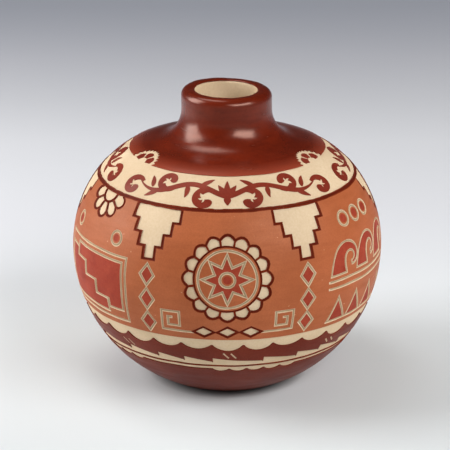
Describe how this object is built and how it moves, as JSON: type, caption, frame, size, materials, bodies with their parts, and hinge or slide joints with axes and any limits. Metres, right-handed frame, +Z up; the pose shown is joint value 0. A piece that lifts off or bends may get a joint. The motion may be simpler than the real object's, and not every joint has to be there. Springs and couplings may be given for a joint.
{
  "type": "pottery jar",
  "caption": "Round hand-built pottery jar with a short narrow neck, polished red slip over cream clay, and scalloped and terraced bands cut through the slip.",
  "frame": {"origin": "middle of the foot, on the surface that the jar stands on", "axes": "+Z up along the jar's axis, -Y towards the side that the picture shows"},
  "size_m": [0.102, 0.102, 0.098],
  "materials": {
    "cream_clay": "matt unglazed clay",
    "polished_red_slip": "stone-polished slip, soft gloss",
    "dark_line_slip": "matt slip line",
    "tan_slip": "matt slip with a faint sheen",
    "satin_red_slip": "satin polished slip"
  },
  "bodies": {
    "root": {"clay_wall": "cream_clay", "neck_coat": "polished_red_slip", "shoulder_line": "dark_line_slip", "belly_coat": "tan_slip", "pendant_edging_1": "dark_line_slip", "pendant_edging_2": "dark_line_slip", "pendant_edging_3": "dark_line_slip", "pendant_edging_4": "dark_line_slip", "pendant_edging_5": "dark_line_slip", "pendant_edging_6": "dark_line_slip", "cloud_band": "satin_red_slip", "thin_line": "dark_line_slip", "foot_coat": "satin_red_slip"}
  },
  "joints": []
}
